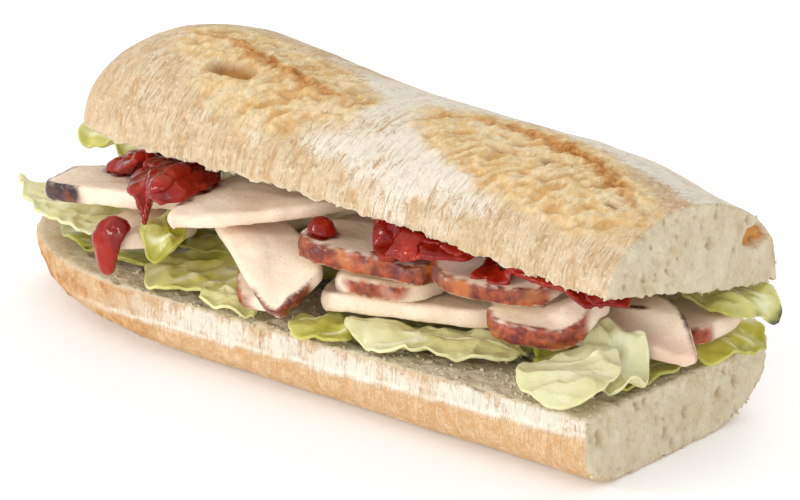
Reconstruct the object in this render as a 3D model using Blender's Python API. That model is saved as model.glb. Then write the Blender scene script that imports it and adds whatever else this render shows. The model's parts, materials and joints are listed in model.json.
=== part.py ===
"""Submarine sandwich: a cut length of crusty baguette with lettuce, roast chicken and tomato sauce.

Metres, +Z up. X runs along the loaf, from its round heel (-X) to its cut end (+X), and -Y is the open front.
The origin is on the surface that the sandwich stands on, under the middle of its base.
The filling is laid down piece by piece. Each piece starts from its own height and tilt, and is lifted where
something already lies there, so that no two pieces share any space.
"""

import math

import bmesh
import bpy
import numpy as np
from mathutils import Vector

MM = 0.001

# The loaf: both halves share its plan
CUT_END_X = 115 * MM
HEEL_TIP_X = -107 * MM
HEEL_TAPER = 62 * MM
LOAF_HALF_WIDTH = 39.3 * MM
LOAF_CENTRE_Y = 1.3 * MM
STATION_STEP = 7 * MM

# The bottom half, with 0.6 mm taken off its foot so that it stands flat
BASE_HEIGHT_CUT_END = 21.5 * MM
BASE_HEIGHT_HEEL = 18.0 * MM
BASE_LIFT_AT_HEEL = 13 * MM
FOOT_DEPTH = 0.6 * MM
CRUMB_DIP = 1.2 * MM

# The crease along its wall, and the smooth band that swells below it
SEAM_DROP_FROM_TOP = 6.8 * MM
SEAM_GROOVE = 0.7 * MM
BAND_SWELL = 0.9 * MM

# The lid, tipped up at the front by the filling
LID_CUT_END_X = 117 * MM
LID_HEEL_TIP_X = -84.5 * MM
LID_HEEL_TAPER = 44 * MM
LID_HALF_WIDTH = 37.8 * MM
LID_HEIGHT_CUT_END = 22.5 * MM
LID_HEIGHT_BODY = 26.4 * MM
LID_DROP_FROM_X = 88 * MM
LID_HUMPS = ((-47 * MM, 40 * MM, 6.6 * MM), (78 * MM, 34 * MM, 2.6 * MM))
LID_TILT = math.radians(12.8)
LID_CENTRE_Y = 3.2 * MM
LID_UNDERSIDE_CUT_END = 44.1 * MM
LID_UNDERSIDE_HEEL = 49.5 * MM
LID_STATION_STEP = 5 * MM
LID_DOME_STEPS = 24
LID_CRUMB_STEPS = 10

# The two slashes baked open in its crust: middle along and across, turn, half sizes, place of the ear
SCORES = (
    (-16 * MM, -17 * MM, -6.5, 36 * MM, 13 * MM, 0.1),
    (75 * MM, -15 * MM, -3.0, 44 * MM, 11 * MM, 0.75),
)
SCORE_DEPTH = 1.1 * MM
EAR_HEIGHT = 1.6 * MM
EAR_HALF_WIDTH = 3.0 * MM

# The filling
GAP = 0.35 * MM
SLICE_THICKNESS = 5.2 * MM
LEAF_THICKNESS = 0.9 * MM
SAUCE_EDGE = 0.5 * MM
SLICE_SECTORS = 18
SLICE_RINGS = 2
LEAF_SECTORS = 24
LEAF_RINGS = 4
DRIP_SIDES = 10

# Looks: base colour and roughness
CRUST = ((0.62, 0.42, 0.23), 0.75)
CHICKEN = ((0.74, 0.56, 0.43), 0.5)
LETTUCE = ((0.52, 0.58, 0.20), 0.4)
SAUCE = ((0.30, 0.015, 0.008), 0.18)

# The grid on which the pile's height is kept
CELL = 0.8 * MM
SAMPLE_STEP = 0.6 * MM
PLAN_LOW = np.array([-130 * MM, -60 * MM])
PLAN_CELLS = (340, 150)


def clear_scene():
    for obj in list(bpy.data.objects):
        bpy.data.objects.remove(obj)


def smoothstep(low, high, value):
    share = min(1.0, max(0.0, (value - low) / (high - low)))
    return share * share * (3 - 2 * share)


def mix(a, b, share):
    return a + (b - a) * share


def signed_power(value, power):
    return math.copysign(abs(value) ** power, value)


def add_object(name, points, faces, look):
    mesh = bpy.data.meshes.new(name)
    mesh.from_pydata([tuple(point) for point in points], [], [tuple(face) for face in faces])
    bm = bmesh.new()
    bm.from_mesh(mesh)
    bmesh.ops.recalc_face_normals(bm, faces=bm.faces)
    bmesh.ops.triangulate(bm, faces=bm.faces)
    bm.to_mesh(mesh)
    bm.free()
    obj = bpy.data.objects.new(name, mesh)
    bpy.context.scene.collection.objects.link(obj)
    colour, roughness = look
    material = bpy.data.materials.new(name)
    material.use_nodes = True
    shader = material.node_tree.nodes["Principled BSDF"]
    shader.inputs["Base Color"].default_value = (*colour, 1)
    shader.inputs["Roughness"].default_value = roughness
    shader.inputs["Metallic"].default_value = 0.0
    mesh.materials.append(material)
    return obj


def taper(x, tip_x, length, power=1.9):
    """The share of its full width that the loaf has at x: 1 along the body, 0 at the tip of the heel."""
    into = (tip_x + length - x) / length
    if into <= 0:
        return 1.0
    return max(0.0, 1 - min(into, 1.0) ** power) ** (1 / power)


def stations(tip_x, cut_x, length, step):
    """Places along the loaf for its cross-sections, closer together round the heel."""
    heel = [tip_x + length * (1 - math.cos(angle)) for angle in np.linspace(0.16, math.pi / 2, 9)]
    body_count = round((cut_x - heel[-1]) / step)
    return heel + list(np.linspace(heel[-1], cut_x, body_count + 1)[1:])


def bottom_section(x):
    """The outline of the bottom half at x: round the base from front to back, then over the crumb."""
    share = taper(x, HEEL_TIP_X, HEEL_TAPER)
    half = LOAF_HALF_WIDTH * share
    along = (x - HEEL_TIP_X) / (CUT_END_X - HEEL_TIP_X)
    top = mix(BASE_HEIGHT_HEEL, BASE_HEIGHT_CUT_END, along)
    floor = BASE_LIFT_AT_HEEL * (1 - share) ** 1.3
    front_corner = mix(0.8, 0.42, smoothstep(0.0, 0.4, along))
    points = []
    for step in range(23):
        angle = math.pi * step / 22
        roundness = mix(front_corner, 0.80, smoothstep(0.2, 0.8, step / 22))
        z = top - (top - floor) * math.sin(angle) ** roundness
        below_seam = (top - SEAM_DROP_FROM_TOP - z) / MM
        groove = SEAM_GROOVE * math.exp(-(below_seam ** 2) / 1.5)
        swell = BAND_SWELL * math.exp(-((below_seam - 4) ** 2) / 9)
        reach = half + (swell - groove) * share
        y = LOAF_CENTRE_Y - reach * signed_power(math.cos(angle), roundness)
        points.append((x, y, max(floor, z - FOOT_DEPTH * share)))
    crumb_steps = 11
    for step in range(1, crumb_steps):
        across = 1 - 2 * step / crumb_steps
        dip = CRUMB_DIP * math.cos(across * math.pi / 2)
        points.append((x, LOAF_CENTRE_Y + half * across, top - dip))
    return points


def lid_frame(x):
    """The middle of the lid's underside at x, and its directions across and up, both in the YZ plane."""
    along = (x - LID_HEEL_TIP_X) / (LID_CUT_END_X - LID_HEEL_TIP_X)
    height = mix(LID_UNDERSIDE_HEEL, LID_UNDERSIDE_CUT_END, smoothstep(0.45, 1.0, along))
    across = Vector((0, math.cos(LID_TILT), -math.sin(LID_TILT)))
    up = Vector((0, math.sin(LID_TILT), math.cos(LID_TILT)))
    return Vector((x, LID_CENTRE_Y, height)), across, up


def score_relief(x, sideways):
    """How far the crust rises or dips where it was slashed: a shallow bed with a raised ear along it."""
    relief = 0.0
    for middle_x, middle_y, turn, half_length, half_width, ear in SCORES:
        cos = math.cos(math.radians(turn))
        sin = math.sin(math.radians(turn))
        along = ((x - middle_x) * cos + (sideways - middle_y) * sin) / half_length
        across = ((sideways - middle_y) * cos - (x - middle_x) * sin) / half_width
        inside = max(0.0, 1 - along * along)
        relief -= SCORE_DEPTH * math.sqrt(max(0.0, inside - across * across))
        past_ear = (across - ear * inside) * half_width / EAR_HALF_WIDTH
        relief += EAR_HEIGHT * math.sqrt(inside) * math.exp(-past_ear * past_ear)
    return relief


def lid_section(x):
    """The outline of the lid at x: over the crust from front to back, then across the crumb underneath."""
    share = taper(x, LID_HEEL_TIP_X, LID_HEEL_TAPER, 2.3)
    half = LID_HALF_WIDTH * share
    along = (x - LID_HEEL_TIP_X) / (LID_CUT_END_X - LID_HEEL_TIP_X)
    height = mix(LID_HEIGHT_BODY, LID_HEIGHT_CUT_END, smoothstep(LID_DROP_FROM_X, LID_CUT_END_X, x))
    for hump_x, hump_reach, hump_height in LID_HUMPS:
        height += hump_height * math.exp(-(((x - hump_x) / hump_reach) ** 2))
    height *= 0.1 + 0.9 * share
    middle, across, up = lid_frame(x)
    points = []
    for step in range(LID_DOME_STEPS + 1):
        angle = math.pi * step / LID_DOME_STEPS
        front = mix(0.85, 1.25, along)
        roundness = mix(front, 0.85, step / LID_DOME_STEPS)
        sideways = -half * signed_power(math.cos(angle), roundness)
        upward = height * math.sin(angle) ** 0.9
        upward += score_relief(x, sideways) * math.sin(angle)
        points.append(middle + across * sideways + up * upward)
    for step in range(1, LID_CRUMB_STEPS):
        points.append(middle + across * half * (1 - 2 * step / LID_CRUMB_STEPS))
    return points


def loft(sections):
    """Points and faces of a closed solid through cross-sections with as many points each, its ends filled."""
    size = len(sections[0])
    points = [point for section in sections for point in section]
    faces = []
    for ring in range(len(sections) - 1):
        for k in range(size):
            near = (k + 1) % size
            low = ring * size
            high = low + size
            faces.append((low + k, low + near, high + near, high + k))
    faces.append(tuple(range(size))[::-1])
    faces.append(tuple(range(len(points) - size, len(points))))
    return np.array(points, float), faces


def in_triangles(faces):
    """The same faces as triangles, for measuring only."""
    return np.array([(face[0], face[k], face[k + 1]) for face in faces for k in range(1, len(face) - 1)])


def samples(points, triangles):
    """Points spread over the triangles, and which triangle each is on."""
    corners = points[triangles]
    edges = np.linalg.norm(corners - np.roll(corners, 1, axis=1), axis=2).max(axis=1)
    counts = np.maximum(1, np.ceil(edges / SAMPLE_STEP).astype(int))
    found = []
    owners = []
    for count in np.unique(counts):
        which = np.nonzero(counts == count)[0]
        first, second = np.meshgrid(np.arange(count + 1), np.arange(count + 1))
        inside = (first + second) <= count
        a = first[inside] / count
        b = second[inside] / count
        weights = np.stack([a, b, 1 - a - b])
        found.append(np.einsum("ks,tkc->tsc", weights, corners[which]).reshape(-1, 3))
        owners.append(np.repeat(which, weights.shape[1]))
    return np.concatenate(found), np.concatenate(owners)


class Pile:
    """The height of everything laid down so far, over a grid of the plan."""

    def __init__(self):
        self.height = np.full(PLAN_CELLS, -1.0)

    def cells(self, points):
        index = np.round((points[:, :2] - PLAN_LOW) / CELL).astype(int)
        return tuple(np.clip(index, 1, np.array(PLAN_CELLS) - 2).T)

    def add(self, points, triangles):
        spots, _ = samples(points, triangles)
        np.maximum.at(self.height, self.cells(spots), spots[:, 2])

    def widened(self, reach=1):
        """The highest of each cell and those around it, so that a steep side keeps its distance too."""
        wide = self.height
        for _ in range(reach):
            for axis in (0, 1):
                wide = np.maximum(wide, np.maximum(np.roll(wide, 1, axis=axis), np.roll(wide, -1, axis=axis)))
        return wide

    def need(self, points, triangles, top):
        """How far each point must rise for its triangles to clear the pile."""
        spots, owners = samples(points, triangles)
        lack = top[self.cells(spots)] + GAP - spots[:, 2]
        need = np.full(len(points), -1.0)
        for corner in range(3):
            np.maximum.at(need, triangles[owners, corner], lack)
        return need


def web(sectors, rings):
    """Triangles and neighbours of a disc of points: its middle, then ring after ring."""
    triangles = [(0, 1 + k, 1 + (k + 1) % sectors) for k in range(sectors)]
    for ring in range(rings - 1):
        low = 1 + ring * sectors
        high = low + sectors
        for k in range(sectors):
            near = (k + 1) % sectors
            triangles.append((low + k, high + k, high + near))
            triangles.append((low + k, high + near, low + near))
    triangles = np.array(triangles)
    size = 1 + sectors * rings
    touching = np.zeros((size, size))
    for a, b in ((0, 1), (1, 2), (2, 0)):
        touching[triangles[:, a], triangles[:, b]] = 1
        touching[triangles[:, b], triangles[:, a]] = 1
    return triangles, touching / touching.sum(axis=1, keepdims=True)


def outline(length, width, squareness, narrowing, bend, ragged, seed, sectors):
    """A closed outline: an oval made squarer, narrowed toward one end, bent, and with an uneven edge."""
    phases = np.random.default_rng(seed).uniform(0, 2 * math.pi, 4)
    points = []
    for k in range(sectors):
        angle = 2 * math.pi * k / sectors
        along = signed_power(math.cos(angle), squareness)
        across = signed_power(math.sin(angle), squareness) * (1 - narrowing * along)
        uneven = 1 + ragged * sum(math.sin((j + 2) * angle + phases[j]) / (j + 2) for j in range(4))
        points.append((along * length / 2 * uneven, across * width / 2 * uneven + bend * (1 - along * along)))
    return np.array(points)


def normals_of(middle, triangles):
    corners = middle[triangles]
    across = np.cross(corners[:, 1] - corners[:, 0], corners[:, 2] - corners[:, 0])
    total = np.zeros_like(middle)
    for corner in range(3):
        np.add.at(total, triangles[:, corner], across)
    return total / np.linalg.norm(total, axis=1, keepdims=True)


def closed_sheet(under, over, triangles, sectors, rim=None):
    """Points and triangles of a solid between two alike faces, and the point of the disc each belongs to."""
    size = len(under)
    outer = size - sectors
    points = [under, over]
    owner = [np.arange(size), np.arange(size)]
    faces = [triangles[:, ::-1], triangles + size]
    ladders = [(outer, size + outer)]
    if rim is not None:
        points.append(rim)
        owner.append(np.arange(outer, size))
        ladders = [(outer, 2 * size), (2 * size, size + outer)]
    sides = []
    for low, high in ladders:
        for k in range(sectors):
            near = (k + 1) % sectors
            sides.append((low + k, low + near, high + near))
            sides.append((low + k, high + near, high + k))
    faces.append(np.array(sides))
    return np.concatenate(points), np.concatenate(faces), np.concatenate(owner)


def spread(lift, neighbours, passes, keep):
    """A lift passed on to the points around it, so that a stiff piece tips rather than dents."""
    for _ in range(passes):
        lift = np.maximum(lift, keep * (neighbours @ lift))
    return lift


def lay(pile, name, shape, place, height, look, thickness, stiffness, rim_swell, surface, rings):
    """Lays one sheet of an even thickness on the pile: a slice or a leaf."""
    sectors = len(shape)
    triangles, neighbours = web(sectors, rings)
    disc = np.concatenate([[[0.0, 0.0]]] + [shape * (ring / rings) ** 0.9 for ring in range(1, rings + 1)])
    turn = math.radians(place[2])
    plan = disc @ np.array([[math.cos(turn), math.sin(turn)], [-math.sin(turn), math.cos(turn)]])
    plan = plan + np.array(place[:2]) * MM
    radius = np.concatenate([[0.0]] + [np.full(sectors, ring / rings) for ring in range(1, rings + 1)])
    base = height * MM + surface(disc, plan - np.array(place[:2]) * MM, radius)
    lift = np.zeros(len(disc))
    top = pile.widened()
    for _ in range(60):
        middle = np.column_stack([plan, base + lift])
        normal = normals_of(middle, triangles)
        under = middle - normal * thickness / 2
        over = middle + normal * thickness / 2
        rim = None
        if rim_swell:
            outward = plan[-sectors:] - plan[0]
            outward = outward / np.linalg.norm(outward, axis=1, keepdims=True)
            rim = middle[-sectors:] + np.column_stack([outward * rim_swell, np.zeros(sectors)])
        points, faces, owner = closed_sheet(under, over, triangles, sectors, rim)
        need = pile.need(points, faces, top)
        if need.max() <= 1e-6:
            break
        asked = np.zeros(len(disc))
        np.maximum.at(asked, owner, np.maximum(need, 0))
        lift = spread(lift + asked, neighbours, stiffness[0], stiffness[1])
    pile.add(points, faces)
    add_object(name, points, faces, look)


def slice_of_chicken(pile, name, place, height, size, slope=(0, 0), droops=(), square=0.62, narrowing=0.0,
                     bend=0.0, thickness=SLICE_THICKNESS, seed=1, rings=SLICE_RINGS):
    """One slice: its middle and turn in plan, its height, its length and width in mm, its two slopes."""
    shape = outline(size[0] * MM, size[1] * MM, square, narrowing, bend * MM, 0.05, seed, SLICE_SECTORS)

    def surface(disc, offset, radius):
        rise = disc @ np.array(slope)
        for angle, start, strength in droops:
            toward = np.array([math.cos(math.radians(angle)), math.sin(math.radians(angle))])
            past = np.maximum(0, offset @ toward / MM - start)
            rise = rise - strength * past * past * MM
        return rise

    lay(pile, name, shape, place, height, CHICKEN, thickness, (6, 0.95), 0.7 * MM, surface, rings)


def leaf(pile, name, place, height, size, slope=(0, 0), droops=(), square=0.8, narrowing=0.0, bend=0.0,
         wave=2.0, frill=1.5, frills=5, seed=1, rings=LEAF_RINGS, sectors=LEAF_SECTORS):
    """One leaf: a thin sheet with slow waves across it and a frill that grows toward its edge."""
    shape = outline(size[0] * MM, size[1] * MM, square, narrowing, bend * MM, 0.16, seed, sectors)
    phases = np.random.default_rng(seed + 100).uniform(0, 2 * math.pi, 4)

    def surface(disc, offset, radius):
        rise = disc @ np.array(slope)
        for angle, start, strength in droops:
            toward = np.array([math.cos(math.radians(angle)), math.sin(math.radians(angle))])
            past = np.maximum(0, offset @ toward / MM - start)
            rise = rise - strength * past * past * MM
        slow = np.sin(disc[:, 0] / (7 * MM) + phases[0]) * np.cos(disc[:, 1] / (9 * MM) + phases[1])
        bearing = np.arctan2(disc[:, 1], disc[:, 0])
        edge = radius ** 3 * np.sin(frills * bearing + phases[2])
        return rise + wave * MM * slow + frill * MM * edge

    lay(pile, name, shape, place, height, LETTUCE, LEAF_THICKNESS, (3, 0.85), 0, surface, rings)


def pool_of_sauce(pile, name, place, size, depth, lowest, narrowing=0.0, bend=0.0, seed=1, ragged=0.12):
    """Sauce that lies on the pile and follows it, thickest in the middle, and runs over edges."""
    sectors = SLICE_SECTORS
    rings = 3
    shape = outline(size[0] * MM, size[1] * MM, 0.9, narrowing, bend * MM, ragged, seed, sectors)
    triangles, neighbours = web(sectors, rings)
    disc = np.concatenate([[[0.0, 0.0]]] + [shape * ring / rings for ring in range(1, rings + 1)])
    turn = math.radians(place[2])
    plan = disc @ np.array([[math.cos(turn), math.sin(turn)], [-math.sin(turn), math.cos(turn)]])
    plan = plan + np.array(place[:2]) * MM
    radius = np.concatenate([[0.0]] + [np.full(sectors, ring / rings) for ring in range(1, rings + 1)])
    body = SAUCE_EDGE + depth * MM * np.sqrt(np.maximum(0, 1 - radius ** 2))
    top = pile.widened()
    spot = np.column_stack([plan, np.zeros(len(plan))])
    reach = math.ceil(max(size) * MM / 2 / rings / CELL)
    base = np.maximum(pile.widened(reach)[pile.cells(spot)] + GAP, lowest * MM)
    lift = np.zeros(len(disc))
    for _ in range(60):
        under = np.column_stack([plan, base + lift])
        over = np.column_stack([plan, base + lift + body])
        points, faces, owner = closed_sheet(under, over, triangles, sectors)
        need = pile.need(points, faces, top)
        if need.max() <= 1e-6:
            break
        asked = np.zeros(len(disc))
        np.maximum.at(asked, owner, np.maximum(need, 0))
        lift = lift + asked
    pile.add(points, faces)
    add_object(name, points, faces, SAUCE)


def drip_of_sauce(pile, name, path):
    """Sauce that hangs down a side: a round run through places in mm, each with its width and its depth."""
    sections = []
    steps = np.array(path, float) * MM
    for index, (x, y, z, width, depth) in enumerate(steps):
        ahead = steps[min(index + 1, len(steps) - 1)] - steps[max(index - 1, 0)]
        run = Vector(ahead[:3]).normalized()
        out = Vector((1, 0, 0)).cross(run).normalized()
        side = run.cross(out)
        turns = [2 * math.pi * k / DRIP_SIDES for k in range(DRIP_SIDES)]
        sections.append([Vector((x, y, z)) + side * math.cos(t) * width / 2 + out * math.sin(t) * depth / 2
                         for t in turns])
    points, faces = loft(sections)
    pile.add(points, in_triangles(faces))
    add_object(name, points, faces, SAUCE)


def lay_filling(pile):
    """The pieces from the bread up. Heights are of a piece's middle, in mm, as are places and sizes."""
    leaf(pile, "leaf_bed_left", (-46, 4, 0), 20.8, (88, 66), wave=0.4, frill=0.8, seed=3)
    leaf(pile, "leaf_bed_middle", (43, 3, 21), 21.6, (80, 62), wave=0.3, frill=0.9, frills=6, seed=5)
    leaf(pile, "leaf_bed_right", (95, -4, 0), 22.3, (36, 46), wave=0.3, frill=0.7, frills=6, seed=8)
    leaf(pile, "leaf_ribbed", (-22, -25, 5), 23.8, (40, 25), slope=(0.0, 0.22), wave=0.5, frill=0.8,
         seed=11)
    leaf(pile, "leaf_dark_behind", (-40, -13, 4), 27.0, (38, 16), slope=(0.0, 0.28), wave=0.5, frill=0.8,
         seed=16, rings=3)
    leaf(pile, "leaf_curl", (-8, -37, 0), 21.3, (17, 8), wave=0.3, frill=1.4, frills=4, seed=12, rings=2,
         sectors=SLICE_SECTORS)
    leaf(pile, "leaf_front", (26, -35, 10), 22.8, (22, 13), slope=(0.0, 0.1), wave=0.7, frill=1.4,
         frills=4, seed=13, rings=3, sectors=SLICE_SECTORS)
    leaf(pile, "leaf_wavy_front", (58, -27, 21), 23.5, (52, 13), slope=(0.0, 0.12), wave=0.8, frill=1.6,
         frills=6, seed=15, rings=3)
    leaf(pile, "leaf_right_low", (104, 22, 0), 24.2, (36, 30), droops=((0, 8, 0.03),), wave=0.8,
         frill=1.8, frills=6, seed=14)

    slice_of_chicken(pile, "chicken_back_left", (-54, 22, 8), 25.6, (50, 30), seed=21)
    slice_of_chicken(pile, "chicken_back_middle", (-3, 26, -4), 25.6, (42, 24), seed=22)
    slice_of_chicken(pile, "chicken_back_right", (47, 28, 2), 25.6, (44, 20), seed=24)
    leaf(pile, "leaf_back_left", (-52, 25, 4), 32.5, (62, 28), slope=(0.0, -0.1), wave=1.6, frill=2.4,
         frills=7, seed=17)
    leaf(pile, "leaf_back_middle", (26, 30, -2), 31.0, (82, 19), slope=(0.0, -0.08), wave=1.2, frill=2.4,
         frills=7, seed=18)
    slice_of_chicken(pile, "chicken_long", (40, -13, 23), 27.6, (52, 30), slope=(0, -0.03), square=0.45,
                     seed=23)
    slice_of_chicken(pile, "chicken_under_strip", (-2.5, -20.5, -65), 28.4, (42, 20),
                     droops=((-80, 5, 0.012),), thickness=4.6 * MM, seed=25)
    slice_of_chicken(pile, "chicken_lower_left", (-47, -27, 78), 32.6, (26, 22), droops=((215, 2, 0.03),),
                     seed=26)
    drip_of_sauce(pile, "sauce_drip", (
        (-42.5, -39.6, 37.9, 6.0, 1.6),
        (-43.5, -41.6, 37.4, 9.0, 2.4),
        (-45.0, -43.4, 35.4, 10.0, 2.6),
        (-46.0, -44.0, 32.0, 9.0, 2.6),
        (-46.3, -43.9, 28.5, 7.5, 2.4),
        (-46.6, -43.6, 25.5, 5.6, 2.0),
        (-46.9, -43.2, 23.2, 2.4, 1.2),
    ))
    leaf(pile, "leaf_upright", (-33, -35, -20), 32.5, (14, 11), slope=(0.0, 0.9), wave=0.4, frill=0.6,
         frills=3, seed=27, rings=2, sectors=SLICE_SECTORS)
    leaf(pile, "leaf_left_tip", (-80, -18, 14), 29.3, (44, 30), droops=((190, 6, -0.03),), square=1.0,
         narrowing=-0.75, wave=1.0, frill=1.4, seed=28)
    slice_of_chicken(pile, "chicken_left", (-57, -22, 10), 38.0, (46, 24), square=0.42, narrowing=-0.1,
                     seed=29)
    slice_of_chicken(pile, "chicken_strip", (1, -30.5, -24), 38.6, (40, 19), slope=(-0.16, 0),
                     droops=((-90, -2, 0.04),), square=0.45, thickness=4.6 * MM, seed=30, rings=3)
    slice_of_chicken(pile, "chicken_dark_end", (34, -11, 14), 33.0, (28, 42), slope=(0, -0.07), square=0.42,
                     thickness=4.6 * MM, seed=31)
    slice_of_chicken(pile, "chicken_far_right", (94, 18, -4), 29.5, (46, 25), slope=(0.03, 0.05),
                     square=0.4, seed=32)
    slice_of_chicken(pile, "chicken_sloping", (95, -2, 3), 27.0, (52, 26), slope=(0, 0.1),
                     droops=((0, 4, 0.01),), square=0.7, narrowing=0.7, thickness=4.4 * MM, seed=33)
    leaf(pile, "leaf_crumpled", (107, -19, 12), 24.6, (22, 15), slope=(0, 0.1), wave=1.4, frill=2.4,
         frills=5, seed=42, rings=3)
    leaf(pile, "leaf_folded", (104, -31, 30), 28.5, (25, 20), droops=((-68, 2, 0.07),), wave=0.4,
         frill=0.8, seed=41)
    slice_of_chicken(pile, "chicken_crusty_right", (88, -20, 8), 33.0, (29, 20), square=0.5,
                     thickness=6 * MM, seed=34)
    slice_of_chicken(pile, "chicken_big", (32, -14, 8), 40.6, (42, 42), slope=(0, -0.1), square=0.42,
                     thickness=6 * MM, seed=35)
    slice_of_chicken(pile, "chicken_pointed", (-11, -21, 66), 42.6, (52, 34), slope=(0.08, 0),
                     square=0.75, narrowing=-0.75, thickness=4.0 * MM, seed=36)
    slice_of_chicken(pile, "chicken_crusty_middle", (72, -15, 14), 38.2, (38, 31), square=0.45, seed=37)
    slice_of_chicken(pile, "chicken_under_lid", (30, 4, 4), 44.0, (40, 42), slope=(0, -0.16),
                     thickness=4.6 * MM, seed=38)
    leaf(pile, "leaf_frilly_left", (-83, 10, 20), 41.5, (34, 26), wave=1.0, frill=2.2, frills=6, seed=39)
    leaf(pile, "leaf_right_high", (103, 28, 0), 35.5, (44, 24), droops=((0, 8, 0.045),), wave=1.0,
         frill=2.0, frills=6, seed=40)
    pool_of_sauce(pile, "sauce_left", (-37, -26, -55), (40, 24), 3.4, 36, ragged=0.2, seed=51)
    pool_of_sauce(pile, "sauce_far_left", (-63, -14, -15), (20, 13), 2.8, 36, ragged=0.2, seed=52)
    pool_of_sauce(pile, "sauce_middle", (50, -22, -40), (40, 28), 2.4, 31, ragged=0.2, seed=53)
    pool_of_sauce(pile, "sauce_drop", (19, -29, 0), (7.5, 7.5), 3.2, 38, ragged=0.02, seed=55)
    pool_of_sauce(pile, "sauce_right", (88, -16, -10), (46, 20), 2.2, 28, ragged=0.2, seed=56)


def make_bread(pile):
    places = stations(HEEL_TIP_X, CUT_END_X, HEEL_TAPER, STATION_STEP)
    points, faces = loft([bottom_section(x) for x in places])
    pile.add(points, in_triangles(faces))
    add_object("bread_bottom", points, faces, CRUST)


def make_lid(pile):
    """The lid, its crumb pressed up wherever the filling stands higher."""
    places = stations(LID_HEEL_TIP_X, LID_CUT_END_X, LID_HEEL_TAPER, LID_STATION_STEP)
    sections = [lid_section(x) for x in places]
    points, faces = loft(sections)
    size = len(sections[0])
    crumb = np.arange(len(points)) % size > LID_DOME_STEPS
    edge = np.isin(np.arange(len(points)) % size, (0, LID_DOME_STEPS))
    under = [face for face in faces[:-2] if all(k % size >= LID_DOME_STEPS or k % size == 0 for k in face)]
    triangles = in_triangles(under)
    top = pile.widened()
    lift = np.zeros(len(points))
    for _ in range(40):
        raised = points + np.column_stack([np.zeros((len(points), 2)), lift])
        need = np.maximum(pile.need(raised, triangles, top), 0)
        need[~(crumb | edge)] = 0
        if need.max() <= 1e-6:
            break
        lift = lift + need
    add_object("bread_top", raised, faces, CRUST)


def main():
    clear_scene()
    pile = Pile()
    make_bread(pile)
    lay_filling(pile)
    make_lid(pile)


main()
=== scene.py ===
import math

import bmesh
import bpy
import numpy as np
from mathutils import Matrix, Vector
from mathutils.bvhtree import BVHTree
from mathutils.kdtree import KDTree
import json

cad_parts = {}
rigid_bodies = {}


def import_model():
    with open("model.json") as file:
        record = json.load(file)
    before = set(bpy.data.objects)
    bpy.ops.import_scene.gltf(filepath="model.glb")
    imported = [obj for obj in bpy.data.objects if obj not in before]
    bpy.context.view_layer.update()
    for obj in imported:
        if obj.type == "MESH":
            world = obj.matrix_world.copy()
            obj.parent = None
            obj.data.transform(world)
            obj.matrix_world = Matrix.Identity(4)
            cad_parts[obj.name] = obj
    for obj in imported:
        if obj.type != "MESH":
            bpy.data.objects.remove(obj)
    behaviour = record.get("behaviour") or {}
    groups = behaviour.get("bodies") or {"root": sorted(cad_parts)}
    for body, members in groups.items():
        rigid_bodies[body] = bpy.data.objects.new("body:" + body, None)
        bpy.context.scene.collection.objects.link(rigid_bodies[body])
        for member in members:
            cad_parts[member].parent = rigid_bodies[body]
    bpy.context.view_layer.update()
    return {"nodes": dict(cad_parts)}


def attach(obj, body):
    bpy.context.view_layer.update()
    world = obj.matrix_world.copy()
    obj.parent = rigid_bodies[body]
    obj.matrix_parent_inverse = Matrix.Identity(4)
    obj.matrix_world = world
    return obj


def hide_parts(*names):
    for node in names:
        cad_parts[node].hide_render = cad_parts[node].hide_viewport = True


# Dresses the submarine sandwich: baked crust, open crumb, roast chicken, fresh lettuce and wet sauce.
# Each piece is grown from the solid that it stands for, so it keeps that solid's place and form.
# Only the thin sauce on the slices and the loose crumbs have no solid.
# Numpy work is in millimetres, and the meshes are in metres.

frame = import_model()

MM = 0.001

# How fine the meshes are, in millimetres
LID_GRID = 0.74
BASE_GRID = 0.88
CHICKEN_GRID = 0.78
SAUCE_GRID = 0.5
RUN_GRID = 0.6

# Points of a solid that lie nearer together than this, in metres, are one point
SAME_POINT = 2e-6

# The lid as the part has it
LID_TILT = math.radians(12.8)
LID_CENTRE_Y = 3.2
LID_HEEL_X = -84.5
LID_CUT_X = 117.0
LID_FLOOR_HEEL = 49.5
LID_FLOOR_CUT = 44.1
LID_HALF_WIDTH = 37.8

# The slashes in the lid's crust: middle along and across, turn in degrees, half length, half width,
# place of the ear
SCORES = (
    (-16.0, -17.0, -6.5, 36.0, 13.0, 0.1),
    (74.0, -17.0, -9.0, 44.0, 12.0, 0.75),
)
EAR_HALF_WIDTH = 3.0

# The pocket baked into the left slash, and two small holes in the right one:
# middle along and across, half length, half width, turn in degrees
POCKETS = (
    (-26, -23, 8.0, 3.4, 12),
    (103, -22, 2.0, 1.5, 0),
    (78, -16, 2.8, 1.6, 20),
)
POCKET_DEPTH = 3.4

# The hollow in the lid's cut face: middle across and up, half width, half height, depth
HOLLOW = (31, 52, 6.5, 3.0, 2.2)

# The bottom half
BASE_CENTRE_Y = 1.3
BASE_CUT_X = 115.0
BASE_HEEL_X = -107.0
BASE_TOP_HEEL = 18.0
BASE_TOP_CUT = 21.5
SEAM_AT_ORIGIN = 11.8
SEAM_RISE = 0.038

# The camera, level with the photograph's: degrees, millimetres
CAMERA_AZIMUTH = 40.0
CAMERA_ELEVATION = 20.0
CAMERA_DISTANCE = 1200.0
CAMERA_TARGET = (21.5, 0.0, 34.0)
CAMERA_LENS = 200.25

# The lamps: place and size in metres, power in watts
LAMPS = {
    "key": ((-0.6, -1.6, 0.55), 0.9, 4.0),
    "front": ((0.7, -1.45, 0.22), 0.9, 8.0),
    "spark": ((-0.85, -1.05, 0.6), 0.28, 5.0),
    "back": ((-0.2, 1.3, 1.6), 1.2, 7.5),
}
LAMPS_AIM = (0, 0, 0.03)
ROOM_BRIGHTNESS = 0.82


# Numbers in fields: smooth noise and scattered pores

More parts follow.
